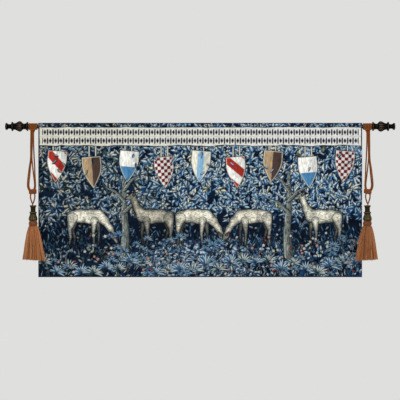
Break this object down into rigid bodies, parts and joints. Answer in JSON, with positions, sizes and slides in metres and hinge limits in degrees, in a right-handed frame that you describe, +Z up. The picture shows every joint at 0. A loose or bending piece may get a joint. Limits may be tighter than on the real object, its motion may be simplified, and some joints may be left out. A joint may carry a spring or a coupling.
{
  "type": "tapestry wall hanging",
  "caption": "Wide verdure tapestry hung from a dark rod in a back sleeve, with fluted finials and rust cord tassels looped over each rod end.",
  "frame": {"origin": "on the wall plane, midway between the finials, at the height of the rod's axis", "axes": "+X along the rod to the right seen from the front, -Y out from the wall towards the viewer, +Z up"},
  "size_m": [1.7454, 0.112, 0.6992],
  "materials": {
    "woven_verdure": "jacquard tapestry weave, matte",
    "lining_cloth": "plain cotton twill, matte",
    "black_bronze": "rubbed near-black bronze, satin",
    "black_iron": "black powder coat, satin",
    "zinc_thread": "zinc-plated thread",
    "brass_insert": "turned brass",
    "rust_cord": "twisted rayon cord, soft sheen",
    "olive_bronze": "antique olive bronze, satin, worn edges",
    "core_wood": "turned bare wood",
    "rust_binding": "wound cord binding",
    "rust_fringe": "bullion fringe, fine strands, soft sheen"
  },
  "bodies": {
    "brackets": {"left_bracket": "black_iron", "right_bracket": "black_iron"},
    "rod": {"rod": "black_bronze", "left_rod_insert": "brass_insert", "right_rod_insert": "brass_insert"},
    "panel": {"woven_face": "woven_verdure", "lining": "lining_cloth", "sleeve_top": "lining_cloth", "sleeve_back": "lining_cloth", "sleeve_foot": "lining_cloth"},
    "left_hitch": {"left_hitch": "rust_cord"},
    "left_cords": {"left_strand_a": "rust_cord", "left_strand_b": "rust_cord", "left_strand_c": "rust_cord", "left_strand_d": "rust_cord", "left_keeper_knot": "rust_cord", "left_loop_leg_a": "rust_cord", "left_loop_leg_b": "rust_cord"},
    "left_tassel": {"left_tassel_head": "olive_bronze", "left_neck_cord": "rust_cord", "left_skirt_core": "core_wood", "left_binding": "rust_binding", "left_skirt": "rust_fringe"},
    "left_stud": {"left_finial_stud": "zinc_thread"},
    "left_finial": {"left_finial": "black_bronze"},
    "right_hitch": {"right_hitch": "rust_cord"},
    "right_cords": {"right_strand_a": "rust_cord", "right_strand_b": "rust_cord", "right_strand_c": "rust_cord", "right_strand_d": "rust_cord", "right_keeper_knot": "rust_cord", "right_loop_leg_a": "rust_cord", "right_loop_leg_b": "rust_cord"},
    "right_tassel": {"right_tassel_head": "olive_bronze", "right_neck_cord": "rust_cord", "right_skirt_core": "core_wood", "right_binding": "rust_binding", "right_skirt": "rust_fringe"},
    "right_stud": {"right_finial_stud": "zinc_thread"},
    "right_finial": {"right_finial": "black_bronze"}
  },
  "joints": [
    {"name": "rod_lift", "type": "slide", "parent": "brackets", "child": "rod", "axis": [0, 0, 1], "range_m": [0, 0.03]},
    {"name": "panel_swing", "type": "hinge", "parent": "rod", "child": "panel", "pos_m": [0, -0.032, 0], "axis": [-1, 0, 0], "range_deg": [-2, 60]},
    {"name": "left_hitch_turn", "type": "hinge", "parent": "rod", "child": "left_hitch", "pos_m": [-0.75, -0.032, 0], "axis": [-1, 0, 0], "range_deg": [-2, 60]},
    {"name": "left_tassel_sway", "type": "hinge", "parent": "left_hitch", "child": "left_cords", "pos_m": [-0.75, -0.0485, -0.031], "axis": [0, 1, 0], "range_deg": [-20, 20]},
    {"name": "left_head_tilt", "type": "hinge", "parent": "left_cords", "child": "left_tassel", "pos_m": [-0.7478, -0.0665, -0.349], "axis": [0, 1, 0], "range_deg": [-25, 25]},
    {"name": "left_finial_travel", "type": "slide", "parent": "rod", "child": "left_stud", "axis": [-1, 0, 0], "range_m": [0, 0.0101]},
    {"name": "left_finial_turn", "type": "hinge", "parent": "left_stud", "child": "left_finial", "pos_m": [-0.8, -0.032, 0], "axis": [-1, 0, 0], "range_deg": [0, 2880]},
    {"name": "right_hitch_turn", "type": "hinge", "parent": "rod", "child": "right_hitch", "pos_m": [0.75, -0.032, 0], "axis": [-1, 0, 0], "range_deg": [-2, 60]},
    {"name": "right_tassel_sway", "type": "hinge", "parent": "right_hitch", "child": "right_cords", "pos_m": [0.75, -0.0485, -0.031], "axis": [0, -1, 0], "range_deg": [-20, 20]},
    {"name": "right_head_tilt", "type": "hinge", "parent": "right_cords", "child": "right_tassel", "pos_m": [0.7478, -0.0665, -0.349], "axis": [0, -1, 0], "range_deg": [-25, 25]},
    {"name": "right_finial_travel", "type": "slide", "parent": "rod", "child": "right_stud", "axis": [1, 0, 0], "range_m": [0, 0.0101]},
    {"name": "right_finial_turn", "type": "hinge", "parent": "right_stud", "child": "right_finial", "pos_m": [0.8, -0.032, 0], "axis": [1, 0, 0], "range_deg": [0, 2880]}
  ],
  "couplings": [
    {"joint": "left_hitch_turn", "follows": "panel_swing", "ratio": 1},
    {"joint": "left_finial_travel", "follows": "left_finial_turn", "m_per_rad": 0.00019894},
    {"joint": "right_hitch_turn", "follows": "panel_swing", "ratio": 1},
    {"joint": "right_finial_travel", "follows": "right_finial_turn", "m_per_rad": 0.00019894}
  ]
}
